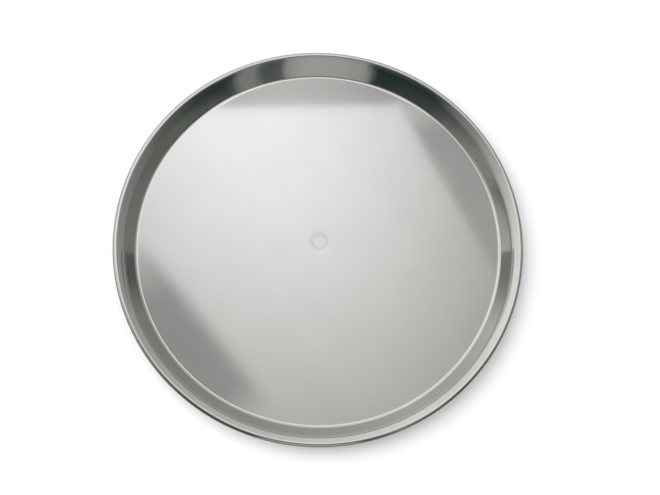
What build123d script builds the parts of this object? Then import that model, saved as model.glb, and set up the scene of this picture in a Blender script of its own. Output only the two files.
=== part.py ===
"""Shallow round pan of spun stainless steel, with a flared wall and a wired, rolled rim.

The pan is one sheet, turned about the Z axis. Its flat base rests on the table at Z = 0, and the origin
is the middle of the underside. A closed ring of steel wire lies inside the rolled rim and stiffens it.
"""
import os
from math import asin, cos, degrees, radians, sin, tan

from build123d import *

# Driving dimensions, in millimetres and degrees
rim_diameter = 350.0  # over the outside of the rolled rim
pan_height = 16.5  # table to the top of the rim
sheet = 0.6  # thickness of the steel sheet
base_radius = 157.0  # where the flat base ends and the corner begins
corner_radius = 3.0  # inside the corner between base and wall
wall_slope = 56.0  # lower wall, above the horizontal
flare_slope = 39.0  # upper wall, where it spreads towards the rim
flare_radius = 18.0  # bend between the lower and the upper wall
wire_diameter = 4.0  # wire inside the rim
wire_clearance = 0.05  # between the wire and the sheet rolled around it
curl_end_gap = 0.25  # between the cut edge of the rolled sheet and the outside of the wall
mark_radius = 9.5  # spinning mark pressed into the middle of the base
mark_floor_radius = 5.0
mark_depth = 0.08

# The rolled rim, measured to the middle of the sheet's thickness
half_sheet = sheet / 2
curl_radius = wire_diameter / 2 + wire_clearance + half_sheet
curl_outside = curl_radius + half_sheet
rim_centre = Vector(rim_diameter / 2 - curl_outside, pan_height - curl_outside)

# Corners of the sheet's centre line: base, lower wall, and upper wall where it meets the rim
wall_direction = Vector(cos(radians(wall_slope)), sin(radians(wall_slope)))
flare_direction = Vector(cos(radians(flare_slope)), sin(radians(flare_slope)))
corner_bend = corner_radius + half_sheet
base_centre = Vector(0, half_sheet)
base_corner = Vector(base_radius + corner_bend * tan(radians(wall_slope / 2)), half_sheet)
curl_start = rim_centre + Vector(-flare_direction.Y, flare_direction.X) * curl_radius
wall_length = (curl_start - base_corner).cross(flare_direction).Z / wall_direction.cross(flare_direction).Z
wall_corner = base_corner + wall_direction * wall_length

# The curl runs three quarters round the wire, and on until its cut edge nears the outside of the wall
curl_angle = 270 + degrees(asin((curl_radius - half_sheet - curl_end_gap) / curl_outside))


# Sheet of the pan: base, corner, wall and rolled rim in one piece
with BuildPart() as pan_body:
    with BuildSketch(Plane.XZ) as sheet_section:
        with BuildLine() as sheet_line:
            corners = (base_centre, base_corner, wall_corner, curl_start)
            FilletPolyline(*corners, radius=[corner_bend, flare_radius])
            JernArc(start=curl_start, tangent=flare_direction, radius=curl_radius, arc_size=-curl_angle)
        trace(line_width=sheet)
    revolve(axis=Axis.Z)
    with Locations((0, 0, sheet - mark_depth / 2)):
        Cone(mark_floor_radius, mark_radius, mark_depth, mode=Mode.SUBTRACT)

# Ring of round wire inside the rolled rim
with BuildPart() as rim_wire:
    with BuildSketch(Plane.XZ) as wire_section:
        with Locations(rim_centre):
            Circle(wire_diameter / 2)
    revolve(axis=Axis.Z)

os.makedirs("parts", exist_ok=True)

pan_body.part.label = "pan_body"
export_step(pan_body.part, "parts/pan_body.step")

rim_wire.part.label = "rim_wire"
export_step(rim_wire.part, "parts/rim_wire.step")
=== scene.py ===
"""Looks of the shallow round steel pan: one sheet of spun stainless steel, rolled over a wire at the rim.

The CAD body is coarse where a mirror needs a fine surface, so the pan is turned again here from the same
section, with a circular satin finish on the base and a bright finish on the wall and the rim.
All sizes are in metres, in the CAD frame: +Z up, with the table at Z = 0.
"""

from math import asin, atan2, cos, pi, radians, sin, tan

import bpy
from mathutils import Matrix, Vector


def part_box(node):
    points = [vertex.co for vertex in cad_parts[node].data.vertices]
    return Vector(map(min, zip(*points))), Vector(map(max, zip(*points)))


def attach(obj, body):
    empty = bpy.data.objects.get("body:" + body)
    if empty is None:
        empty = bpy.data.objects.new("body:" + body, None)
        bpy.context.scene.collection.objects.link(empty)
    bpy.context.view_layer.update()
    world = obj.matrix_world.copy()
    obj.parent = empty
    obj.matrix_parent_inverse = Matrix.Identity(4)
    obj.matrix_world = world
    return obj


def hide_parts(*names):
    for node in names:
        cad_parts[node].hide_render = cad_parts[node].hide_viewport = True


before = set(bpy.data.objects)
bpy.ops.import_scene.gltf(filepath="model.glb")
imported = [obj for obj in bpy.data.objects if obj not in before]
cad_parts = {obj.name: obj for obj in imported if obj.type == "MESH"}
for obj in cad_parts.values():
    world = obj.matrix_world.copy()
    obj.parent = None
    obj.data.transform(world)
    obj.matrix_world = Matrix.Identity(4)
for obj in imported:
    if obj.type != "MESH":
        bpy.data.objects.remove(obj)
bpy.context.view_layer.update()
scene = bpy.context.scene

# The section of the sheet, as the pan is made
SHEET = 0.0006
BASE_RADIUS = 0.157
CORNER_RADIUS = 0.003
WALL_SLOPE = radians(56)
FLARE_SLOPE = radians(39)
FLARE_RADIUS = 0.018
CURL_RADIUS = 0.00235  # to the middle of the sheet rolled around the wire
CURL_END_GAP = 0.00025
MARK_RADIUS = 0.0095
MARK_FLOOR_RADIUS = 0.005
MARK_DEPTH = 0.00008
HALF_SHEET = SHEET / 2

TURN_STEPS = 480  # facets round the pan
BEND_STEP = radians(4)  # facets along a bend of the section
FLAT_RINGS = (0.1, 0.3, 0.6, 0.9, 0.99)  # rings on the flat base, as shares of its radius
RUN_SHARES = (0.02, 0.5, 0.98)  # rings on a straight run of the wall
LEAST_STEPS = 4  # facets on the shortest bend
ON_AXIS = 1e-9  # a point nearer the axis than this is one vertex, not a ring
SHARP_ANGLE = radians(35)  # a larger angle between facets stays a sharp edge


# ---- the section ----

def direction(angle):
    """Unit vector in the section's plane, at that angle above the radius."""
    return Vector((cos(angle), sin(angle)))


def arc(start, slope, turned, radius):
    """(point, slope) pairs along an arc; a positive turn bends upwards."""
    side = 1 if turned > 0 else -1
    centre = start + side * radius * direction(slope + pi / 2)
    steps = max(LEAST_STEPS, round(abs(turned) / BEND_STEP))
    slopes = [slope + turned * step / steps for step in range(steps + 1)]
    return [(centre - side * radius * direction(angle + pi / 2), angle) for angle in slopes]


def rounded(corners, radii):
    """(point, slope) pairs along a line through the corners, each inner corner rounded to its radius."""
    line = []
    for before, corner, after, radius in zip(corners, corners[1:], corners[2:], radii):
        come, leave = corner - before, after - corner
        slope = atan2(come.y, come.x)
        turned = atan2(leave.y, leave.x) - slope
        start = corner - radius * tan(abs(turned) / 2) * direction(slope)
        if line:
            line += [(line[-1][0].lerp(start, share), slope) for share in RUN_SHARES]
        line += arc(start, slope, turned, radius)
    return line


def centre_line():
    """The middle of the sheet from the axis to its cut edge, as (point, slope) pairs."""
    pan_low, pan_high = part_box("pan_body")
    curl_outside = CURL_RADIUS + HALF_SHEET
    rim_centre = Vector((max(pan_high.x, pan_high.y) - curl_outside, pan_high.z - curl_outside))
    curl_start = rim_centre + CURL_RADIUS * direction(FLARE_SLOPE + pi / 2)
    corner_bend = CORNER_RADIUS + HALF_SHEET
    base_corner = Vector((BASE_RADIUS + corner_bend * tan(WALL_SLOPE / 2), HALF_SHEET))
    rise = curl_start - base_corner
    wall_length = (rise.y * cos(FLARE_SLOPE) - rise.x * sin(FLARE_SLOPE)) / sin(WALL_SLOPE - FLARE_SLOPE)
    wall_corner = base_corner + wall_length * direction(WALL_SLOPE)
    corners = (Vector((0, HALF_SHEET)), base_corner, wall_corner, curl_start)
    curl_angle = 1.5 * pi + asin((CURL_RADIUS - HALF_SHEET - CURL_END_GAP) / curl_outside)
    flat = [(Vector((BASE_RADIUS * share, HALF_SHEET)), 0) for share in FLAT_RINGS]
    wall = rounded(corners, (corner_bend, FLARE_RADIUS))
    flare = [(wall[-1][0].lerp(curl_start, share), FLARE_SLOPE) for share in RUN_SHARES]
    return flat + wall + flare + arc(curl_start, FLARE_SLOPE, -curl_angle, CURL_RADIUS)


def section():
    """Upper and lower side of the sheet, as lists of (radius, height)."""
    upper = [Vector((0, SHEET - MARK_DEPTH)), Vector((MARK_FLOOR_RADIUS, SHEET - MARK_DEPTH)),
             Vector((MARK_RADIUS, SHEET))]
    lower = [Vector((0, 0))]
    for middle, slope in centre_line():
        across = HALF_SHEET * direction(slope + pi / 2)
        upper.append(middle + across)
        lower.append(middle - across)
    return upper, lower


def turn(name, outline, steps):
    """Mesh made by turning a closed outline of (radius, height) points about the Z axis."""
    vertices, rings = [], []
    for radius, height in outline:
        if radius < ON_AXIS:
            rings.append([len(vertices)] * steps)
            vertices.append((0, 0, height))
            continue
        rings.append(list(range(len(vertices), len(vertices) + steps)))
        for step in range(steps):
            bearing = 2 * pi * step / steps
            vertices.append((radius * cos(bearing), radius * sin(bearing), height))
    faces = []
    for inner, outer in zip(rings, rings[1:]):
        for step in range(steps):
            following = (step + 1) % steps
            corners = (inner[step], outer[step], outer[following], inner[following])
            faces.append(tuple(dict.fromkeys(corners)))
    mesh = bpy.data.meshes.new(name)
    mesh.from_pydata(vertices, [], [face for face in faces if len(face) > 2])
    mesh.validate()
    mesh.shade_smooth()
    mesh.set_sharp_from_angle(angle=SHARP_ANGLE)
    return mesh


# ---- nodes ----

# Places of the colour sockets on a Mix node, where sockets of other types have the same names
COLOUR_A, COLOUR_B, COLOUR_RESULT = 6, 7, 2
LEAST_RADIUS = 0.001  # keeps a division by the radius finite on the axis


def grey(level):
    """Opaque colour with the same level in each channel."""
    return (level, level, level, 1)


class Graph:
    """Adds nodes to one node tree; an input is a number, a colour or another node's output."""

    def __init__(self, tree):
        self.nodes, self.links = tree.nodes, tree.links

    def feed(self, socket, value):
        if isinstance(value, bpy.types.NodeSocket):
            self.links.new(value, socket)
        else:
            socket.default_value = value

    def add(self, kind, settings=None, **inputs):
        node = self.nodes.new("ShaderNode" + kind)
        for name, setting in (settings or {}).items():
            setattr(node, name, setting)
        for name, value in inputs.items():
            self.feed(node.inputs[name.replace("_", " ")], value)
        return node

    def maths(self, operation, *values):
        node = self.add("Math", {"operation": operation})
        for socket, value in zip(node.inputs, values):
            self.feed(socket, value)
        return node.outputs[0]

    def vector(self, operation, *values):
        node = self.add("VectorMath", {"operation": operation})
        for socket, value in zip(node.inputs, values):
            self.feed(socket, value)
        return node.outputs[0]

    def step(self, value, low, high, start=0.0, end=1.0):
        """Eases from start to end as the value goes from low to high."""
        node = self.add("MapRange", {"interpolation_type": "SMOOTHSTEP"}, Value=value)
        names = ("From Min", "From Max", "To Min", "To Max")
        for name, number in zip(names, (low, high, start, end)):
            self.feed(node.inputs[name], number)
        return node.outputs[0]

    def mix(self, factor, first, second):
        """Blend of two colours, from the first at a factor of 0 to the second at 1."""
        node = self.add("Mix", {"data_type": "RGBA"}, Factor=factor)
        self.feed(node.inputs[COLOUR_A], first)
        self.feed(node.inputs[COLOUR_B], second)
        return node.outputs[COLOUR_RESULT]

    def noise(self, place, scale, detail=2.0, roughness=0.5):
        return self.add("TexNoise", Vector=place, Scale=scale, Detail=detail, Roughness=roughness).outputs[0]

    def bump(self, height, depth, normal=None):
        node = self.add("Bump", Height=height, Distance=depth, Strength=1.0)
        if normal:
            self.feed(node.inputs["Normal"], normal)
        return node.outputs[0]


class Turned:
    """Places on a turned sheet: radius, a measure that grows outwards and upwards, and bearing."""

    def __init__(self, graph):
        self.graph = graph
        self.place = graph.add("TexCoord").outputs["Object"]
        x, y, z = graph.add("SeparateXYZ", Vector=self.place).outputs
        self.radius = graph.maths("SQRT", graph.maths("MULTIPLY_ADD", x, x, graph.maths("MULTIPLY", y, y)))
        self.out = graph.maths("ADD", self.radius, z)
        safe = graph.maths("MAXIMUM", self.radius, LEAST_RADIUS)
        self.x = graph.maths("DIVIDE", x, safe)
        self.y = graph.maths("DIVIDE", y, safe)

    def lines(self, spacing, drift=2.0, detail=2.0):
        """Noise in circles about the axis, that far apart, changing slowly along each circle."""
        graph = self.graph
        place = graph.add(
            "CombineXYZ", X=graph.maths("MULTIPLY", self.x, drift), Y=graph.maths("MULTIPLY", self.y, drift),
            Z=graph.maths("DIVIDE", self.out, spacing),
        ).outputs[0]
        return graph.noise(place, 1.0, detail)


# ---- materials ----

GRAIN_TURN = 0.25  # turns the brushing from across the tangent to along it
FINISH_SPREAD = 0.35  # share of a finish's roughness that varies from place to place
SMUDGE_SCALE = 22.0
SMUDGE_DETAIL = 4.0
SMUDGE_EDGES = (0.35, 0.65)


def spun_metal(name, tones, roughness, anisotropy, line_spacing, line_depth):
    """Bare steel with fine lines round the axis, in a finish that varies a little from place to place."""
    material = bpy.data.materials.new(name)
    material.use_nodes = True
    graph = Graph(material.node_tree)
    shader = graph.nodes["Principled BSDF"]
    shader.inputs["Metallic"].default_value = 1
    shader.inputs["Anisotropic"].default_value = anisotropy
    shader.inputs["Anisotropic Rotation"].default_value = GRAIN_TURN
    tangent = graph.add("Tangent", {"direction_type": "RADIAL", "axis": "Z"})
    graph.feed(shader.inputs["Tangent"], tangent.outputs[0])
    turned = Turned(graph)
    lines = turned.lines(line_spacing)
    smudges = graph.noise(turned.place, SMUDGE_SCALE, SMUDGE_DETAIL)
    tone = graph.mix(graph.step(smudges, *SMUDGE_EDGES), *tones)
    graph.feed(shader.inputs["Base Color"], tone)
    finish = graph.maths("MULTIPLY_ADD", graph.maths("ADD", lines, smudges),
                         FINISH_SPREAD * roughness, (1 - FINISH_SPREAD) * roughness)
    graph.feed(shader.inputs["Roughness"], finish)
    graph.feed(shader.inputs["Normal"], graph.bump(lines, line_depth))
    return material, graph, shader, turned


def add_waves(graph, shader, turned, spacing, drift, depth):
    """Slow waves under the fine lines of a finish."""
    waves = graph.bump(turned.lines(spacing, drift, detail=1.0), depth)
    graph.feed(shader.inputs["Normal"].links[0].from_node.inputs["Normal"], waves)


def roughen(graph, shader, share, extra):
    """Adds a share of extra roughness to the roughness that the finish already has."""
    plain = shader.inputs["Roughness"].links[0].from_socket
    graph.feed(shader.inputs["Roughness"], graph.maths("MULTIPLY_ADD", share, extra, plain))


def band(graph, turned, start, full, lessens, end):
    """Ring about the axis: rises from start to full, and falls from lessens to end."""
    return graph.maths("MULTIPLY", graph.step(turned.radius, start, full),
                       graph.step(turned.radius, lessens, end, 1.0, 0.0))


MARK_EDGES = (0.9 * MARK_FLOOR_RADIUS, 1.1 * MARK_FLOOR_RADIUS, 0.7 * MARK_RADIUS, 1.1 * MARK_RADIUS)
MARK_ROUGHNESS = 0.14  # more on the slope of the mark than on the base


def satin_base():
    """Inside of the base: satin circles, faint waves, and a duller ring round the mark in the middle."""
    material, graph, shader, turned = spun_metal(
        "satin_base", ((0.5, 0.49, 0.473, 1), (0.512, 0.5, 0.482, 1)),
        roughness=0.04, anisotropy=0.85, line_spacing=0.0005, line_depth=1e-6,
    )
    add_waves(graph, shader, turned, spacing=0.006, drift=3.0, depth=2e-6)
    roughen(graph, shader, band(graph, turned, *MARK_EDGES), MARK_ROUGHNESS)
    return material


def bright_wall():
    """Inside of the wall and the outside of the rolled rim: bright, with slow waves round the pan."""
    material, graph, shader, turned = spun_metal(
        "bright_wall", ((0.598, 0.597, 0.564, 1), (0.61, 0.607, 0.575, 1)),
        roughness=0.09, anisotropy=0.8, line_spacing=0.0008, line_depth=3e-6,
    )
    add_waves(graph, shader, turned, spacing=0.03, drift=25.0, depth=5e-5)
    return material


CONTACT_EDGES = (0.85 * BASE_RADIUS, 0.97 * BASE_RADIUS, BASE_RADIUS, 1.01 * BASE_RADIUS)
SCUFF_SCALE = 700.0
SCUFF_DETAIL = 3.0
SCUFF_STEP = (0.4, 0.7)
SCUFF_ROUGHNESS = 0.25
SCUFF_TONE = (0.4, 0.395, 0.385, 1)


def worn_underside():
    """Outside of the wall and underside of the base: duller, and scuffed where the pan slides on a table."""
    material, graph, shader, turned = spun_metal(
        "worn_underside", ((0.52, 0.515, 0.5, 1), (0.55, 0.545, 0.53, 1)),
        roughness=0.16, anisotropy=0.6, line_spacing=0.0012, line_depth=1e-5,
    )
    specks = graph.step(graph.noise(turned.place, SCUFF_SCALE, SCUFF_DETAIL), *SCUFF_STEP)
    scuffs = graph.maths("MULTIPLY", band(graph, turned, *CONTACT_EDGES), specks)
    roughen(graph, shader, scuffs, SCUFF_ROUGHNESS)
    tone = shader.inputs["Base Color"].links[0].from_socket
    graph.feed(shader.inputs["Base Color"], graph.mix(scuffs, tone, SCUFF_TONE))
    return material


def drawn_wire():
    """Plain drawn wire, with die lines along its length."""
    return spun_metal(
        "drawn_wire", ((0.42, 0.41, 0.4, 1), (0.5, 0.49, 0.475, 1)),
        roughness=0.28, anisotropy=0.5, line_spacing=0.0002, line_depth=4e-6,
    )[0]


# ---- the pan ----

INSIDE, WALL, OUTSIDE = range(3)

upper, lower = section()
pan = bpy.data.objects.new("pan_sheet", turn("pan_sheet", upper + lower[::-1], TURN_STEPS))
scene.collection.objects.link(pan)
for material in (satin_base(), bright_wall(), worn_underside()):
    pan.data.materials.append(material)
for face in pan.data.polygons:
    # the faces follow the outline, ring by ring: out along the upper side, and back along the lower side
    upper_side = face.index // TURN_STEPS < len(upper) - 1
    on_base = Vector(face.center.xy).length < BASE_RADIUS
    if not upper_side:
        face.material_index = OUTSIDE
    else:
        face.material_index = INSIDE if on_base else WALL
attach(pan, "root")
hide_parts("pan_body")

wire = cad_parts["rim_wire"]
wire.data.materials.clear()
wire.data.materials.append(drawn_wire())


# ---- studio ----

# Light round the horizon, as (degrees from +X, level): a bright side, and dark drapes with two pale cards
HORIZON = (
    (0, 0.235), (30, 0.38), (55, 0.51), (66, 0.59), (86, 0.76), (95, 0.85), (116, 1.03), (127, 0.94),
    (150, 0.82), (165, 0.73), (180, 0.63), (192, 0.52), (202, 0.36), (210, 0.2), (220, 0.105), (229, 0.035),
    (256.5, 0.022), (259.5, 0.39), (270, 0.49), (285, 0.51), (292, 0.40), (295, 0.11), (302, 0.1),
    (306, 0.27), (311, 0.29), (315, 0.08), (318, 0.03), (332, 0.055), (341, 0.115), (350, 0.15), (360, 0.235),
)
READY_ELEMENTS = 2  # a new colour ramp already has this many
# Darker gaps in that light: bearings where each starts, is darkest, lightens and ends, and its elevations
GAPS = ((27, 30, 34, 48, 7, 18), (142, 161, 167, 169, 4, 16))
GAP_DEPTH = 0.62
GAP_EDGE = 4  # degrees of elevation over which a gap fades
DRAPES_TINT = Vector((0.0, 0.017, 0.015))  # a blue-green cast in the darkest parts

# The bright side spreads higher up: bearings where its glow rises, and where each share of it falls away
GLOW_LEVEL = 0.3
GLOW_RISE = (120, 150)
GLOW_FALLS = ((165, 192, 0.6), (214, 231, 0.4))
GLOW_ELEVATIONS = (4, 22)
WALLS_TO_CEILING = (37, 56)  # elevations between which the walls of the room give way to its ceiling

# The softbox overhead, in slopes away from straight up: each edge as (share of X, share of Y, reach, blur)
SOFTBOX_FAR = (-0.17, 0.985, 0.481, 0.004)
SOFTBOX_RIGHT = (0.8215, 0.5724, 0.3400, 0.006)
SOFTBOX_LEFT = (-0.68, -0.73, -0.0245, 0.024)
SOFTBOX_CENTRE = Vector((-0.153, 0.531))  # where it is brightest
SOFTBOX_TURN = 0.4066  # angle of the bright part's short axis from +X
SOFTBOX_SPREAD = 0.276  # of the bright part along its short axis
SOFTBOX_STRETCH = 0.407  # weight of the squared distance along its long axis
SOFTBOX_LEVEL = 1.9
SOFTBOX_DROP = -0.124  # added to the level everywhere
SOFTBOX_LEAST = 0.65  # the level doesn't fall below this
SOFTBOX_TINT = (-0.01, -0.005, 0.025)  # cooler where it is brightest
SOFTBOX_COOL = (0.6, 0.85)  # shares of the falloff between which that tint comes in
LEAST_HEIGHT = 0.05  # keeps slopes finite near the horizon

# The ceiling beyond the softbox, each as (slope from, slope to, level from, level to)
BEYOND_FAR = (-0.08, 0.06, 0.92, 0.66)
BEYOND_SIDES = (-0.2, 0.2, 0.51, 0.62)
CAMERA_SIDE = (-0.12, 0.03)  # slopes along Y between which the ceiling darkens towards the camera's side
CAMERA_SIDE_LEVEL = 0.28
# Along the left and the right edge, as (share of X, share of Y), and the light that is added near their ends
LEFT_RUN = (0.73, -0.68)
LEFT_FAR_END = (-0.33, -0.265, 0.22, 0.0)
LEFT_NEAR_END = (-0.14, -0.08, 0.0, 0.3)
LEFT_HALF = (0.0, 0.1, 1.0, 0.0)  # keeps the light at the near end off the right half of the room
RIGHT_RUN = (-0.57, 0.82)
RIGHT_FAR_END = (0.31, 0.36, 0.0, 0.3)

DOME_LEVEL = 0.87  # of the even light on the floor
BACKDROP_LEVEL = 0.9  # of what the camera sees behind the pan


def horizon(graph, bearing):
    """Light level by bearing, given as a share of the circle."""
    ramp = graph.add("ValToRGB", Fac=bearing)
    elements = ramp.color_ramp.elements
    for position, (degrees, level) in enumerate(HORIZON):
        element = elements[position] if position < READY_ELEMENTS else elements.new(degrees / 360)
        element.position = degrees / 360
        element.color = grey(level)
    return ramp.outputs[0]


def by_bearing(graph, bearing, low, high, start=0.0, end=1.0):
    """Eases from start to end between two bearings in degrees."""
    return graph.step(bearing, low / 360, high / 360, start, end)


def by_elevation(graph, z, low, high, start=0.0, end=1.0):
    """Eases from start to end between two elevations in degrees; z is the height on the unit sphere."""
    return graph.step(z, sin(radians(low)), sin(radians(high)), start, end)


def gap(graph, bearing, z, start, darkest, lightens, end, low, high):
    """Share of a dark gap at a bearing and a height on the unit sphere."""
    across = graph.maths("MULTIPLY", by_bearing(graph, bearing, start, darkest),
                         by_bearing(graph, bearing, lightens, end, 1.0, 0.0))
    up = graph.maths("MULTIPLY", by_elevation(graph, z, low, low + GAP_EDGE),
                     by_elevation(graph, z, high - GAP_EDGE, high, 1.0, 0.0))
    return graph.maths("MULTIPLY", across, up)


def walls(graph, bearing, z):
    """Light from the sides of the room: levels round the horizon, the glow above them, and the gaps."""
    (start, end, share), (next_start, next_end, next_share) = GLOW_FALLS
    shares = graph.maths("ADD", by_bearing(graph, bearing, start, end, share, 0.0),
                         by_bearing(graph, bearing, next_start, next_end, next_share, 0.0))
    glow = graph.maths("MULTIPLY", shares, by_elevation(graph, z, *GLOW_ELEVATIONS, 0.0, GLOW_LEVEL))
    glow = graph.maths("MULTIPLY", by_bearing(graph, bearing, *GLOW_RISE), glow)
    around = graph.vector("ADD", horizon(graph, bearing), glow)
    for place in GAPS:
        kept = graph.maths("MULTIPLY_ADD", gap(graph, bearing, z, *place), -GAP_DEPTH, 1.0)
        around = graph.vector("MULTIPLY", around, kept)
    return around


def slope_along(graph, along_x, along_y, share_x, share_y, offset=0.0):
    """Slope along a direction given by its shares of X and Y."""
    return graph.maths("ADD", graph.maths("MULTIPLY", along_x, share_x),
                       graph.maths("MULTIPLY_ADD", along_y, share_y, offset))


def softbox(graph, along_x, along_y):
    """Share of the softbox in a direction, share within its far edge, and its level there."""

    def within(share_x, share_y, reach, blur):
        slope = slope_along(graph, along_x, along_y, share_x, share_y)
        return graph.step(slope, reach - blur / 2, reach + blur / 2, 1.0, 0.0)

    far = within(*SOFTBOX_FAR)
    share = graph.maths("MULTIPLY", far, within(*SOFTBOX_RIGHT))
    share = graph.maths("MULTIPLY", share, within(*SOFTBOX_LEFT))
    short_axis = Vector((cos(SOFTBOX_TURN), sin(SOFTBOX_TURN)))
    long_axis = short_axis.orthogonal()
    u = slope_along(graph, along_x, along_y, *short_axis, -short_axis.dot(SOFTBOX_CENTRE))
    v = slope_along(graph, along_x, along_y, *long_axis, -long_axis.dot(SOFTBOX_CENTRE))
    away = graph.maths("MULTIPLY", u, u)
    away = graph.maths("MULTIPLY_ADD", graph.maths("MULTIPLY", v, v), SOFTBOX_STRETCH, away)
    falloff = graph.maths("EXPONENT", graph.maths("DIVIDE", away, -2 * SOFTBOX_SPREAD ** 2))
    level = graph.maths("MULTIPLY_ADD", falloff, SOFTBOX_LEVEL, SOFTBOX_DROP)
    tint = graph.vector("MULTIPLY_ADD", graph.step(falloff, *SOFTBOX_COOL), SOFTBOX_TINT, (1, 1, 1))
    return share, far, graph.vector("MULTIPLY", graph.maths("MAXIMUM", level, SOFTBOX_LEAST), tint)


def beyond_sides(graph, along_x, along_y):
    """Level of the ceiling beyond the softbox's side edges: lighter near their ends, dark on one side."""
    level = graph.step(along_x, *BEYOND_SIDES)
    along_left = slope_along(graph, along_x, along_y, *LEFT_RUN)
    level = graph.maths("ADD", level, graph.step(along_left, *LEFT_FAR_END))
    near_end = graph.maths("MULTIPLY", graph.step(along_left, *LEFT_NEAR_END),
                           graph.step(along_x, *LEFT_HALF))
    level = graph.maths("ADD", level, near_end)
    along_right = slope_along(graph, along_x, along_y, *RIGHT_RUN)
    level = graph.maths("ADD", level, graph.step(along_right, *RIGHT_FAR_END))
    return graph.mix(graph.step(along_y, *CAMERA_SIDE), grey(CAMERA_SIDE_LEVEL), level)


def build_world():
    """The room that the steel reflects, drawn by direction, and plain light for the floor and backdrop."""
    world = bpy.data.worlds.new("studio")
    scene.world = world
    world.use_nodes = True
    graph = Graph(world.node_tree)
    x, y, z = graph.add("SeparateXYZ", Vector=graph.add("TexCoord").outputs["Generated"]).outputs
    bearing = graph.maths("DIVIDE", graph.maths("ARCTAN2", y, x), 2 * pi)
    bearing = graph.maths("WRAP", bearing, 0.0, 1.0)
    height = graph.maths("MAXIMUM", z, LEAST_HEIGHT)
    along_x = graph.maths("DIVIDE", x, height)
    along_y = graph.maths("DIVIDE", y, height)
    share, far, level = softbox(graph, along_x, along_y)
    beyond = graph.mix(far, graph.step(along_x, *BEYOND_FAR), beyond_sides(graph, along_x, along_y))
    ceiling = graph.mix(share, beyond, level)
    room = graph.mix(by_elevation(graph, z, *WALLS_TO_CEILING), walls(graph, bearing, z), ceiling)
    tinted = graph.vector("MULTIPLY_ADD", room, Vector((1, 1, 1)) - DRAPES_TINT, DRAPES_TINT)
    # the floor is lit by a plain even dome, and the camera sees a plain pale backdrop
    path = graph.add("LightPath").outputs
    seen = graph.mix(path["Is Diffuse Ray"], tinted, grey(DOME_LEVEL))
    seen = graph.mix(path["Is Camera Ray"], seen, grey(BACKDROP_LEVEL))
    graph.feed(graph.nodes["Background"].inputs["Color"], seen)


FLOOR_REACH = 6.0
FLOOR_ROUGHNESS = 0.9
FLOOR_TONES = (grey(0.91), grey(0.93))
FLOOR_GRAIN_SCALE = 900.0
FLOOR_GRAIN_DETAIL = 3.0
FLOOR_GRAIN_DEPTH = 2e-5
MIRRORED_PAINTED_SHADE = grey(0.2)  # painted shade: the floor further out, only as the steel reflects it, standing in for a dark room
PAINTED_SHADE_EDGES = (0.18, 0.19)  # radii between which that painted shade comes in


def build_floor():
    """Pale painted floor; seen in the steel it is dark beyond the pan's edge: painted shade for a dark room.
    """
    mesh = bpy.data.meshes.new("floor")
    corners = [(x * FLOOR_REACH, y * FLOOR_REACH, 0) for x, y in ((-1, -1), (1, -1), (1, 1), (-1, 1))]
    mesh.from_pydata(corners, [], [(0, 1, 2, 3)])
    floor = bpy.data.objects.new("floor", mesh)
    scene.collection.objects.link(floor)
    material = bpy.data.materials.new("floor_paint")
    material.use_nodes = True
    graph = Graph(material.node_tree)
    shader = graph.nodes["Principled BSDF"]
    shader.inputs["Roughness"].default_value = FLOOR_ROUGHNESS
    shader.inputs["Specular IOR Level"].default_value = 0.0
    turned = Turned(graph)
    grain = graph.noise(turned.place, FLOOR_GRAIN_SCALE, FLOOR_GRAIN_DETAIL)
    paint = graph.mix(grain, *FLOOR_TONES)
    glossy = graph.add("LightPath").outputs["Is Glossy Ray"]
    # painted shade: only glossy rays see the floor dark beyond the pan's edge, standing in for a dark room
    painted_shade = graph.maths("MULTIPLY", glossy, graph.step(turned.radius, *PAINTED_SHADE_EDGES))
    graph.feed(shader.inputs["Base Color"], graph.mix(painted_shade, paint, MIRRORED_PAINTED_SHADE))
    graph.feed(shader.inputs["Normal"], graph.bump(grain, FLOOR_GRAIN_DEPTH))
    mesh.materials.append(material)


KEY_PLACE = Vector((-1.31, 0.35, 1.73))
KEY_SIZE = 2.4
KEY_POWER = 30


def build_key():
    """Soft key light from the upper left, that only the floor's shadow shows."""
    light = bpy.data.lights.new("key", "AREA")
    light.shape = "DISK"
    light.size = KEY_SIZE
    light.energy = KEY_POWER
    key = bpy.data.objects.new("key", light)
    scene.collection.objects.link(key)
    key.location = KEY_PLACE
    key.rotation_mode = "QUATERNION"
    key.rotation_quaternion = (-KEY_PLACE).to_track_quat("-Z", "Y")
    key.visible_glossy = False


build_world()
build_floor()
build_key()

# ---- camera ----

VIEW_ELEVATION = radians(74.05)
VIEW_DISTANCE = 0.7016
VIEW_ROLL = radians(7.85)
FOCAL_LENGTH = 44.07  # millimetres, as is the sensor's width
SENSOR_WIDTH = 36
AIM = Vector((0.010, -0.0046, 0.0015))

camera_data = bpy.data.cameras.new("camera")
camera_data.sensor_width = SENSOR_WIDTH
camera_data.lens = FOCAL_LENGTH
camera = bpy.data.objects.new("camera", camera_data)
scene.collection.objects.link(camera)
away = Vector((0, -cos(VIEW_ELEVATION), sin(VIEW_ELEVATION)))
camera.matrix_world = (
    Matrix.Translation(AIM + VIEW_DISTANCE * away)
    @ Matrix.Rotation(pi / 2 - VIEW_ELEVATION, 4, "X")
    @ Matrix.Rotation(VIEW_ROLL, 4, "Z")
)
scene.camera = camera
scene.view_settings.view_transform = "Standard"
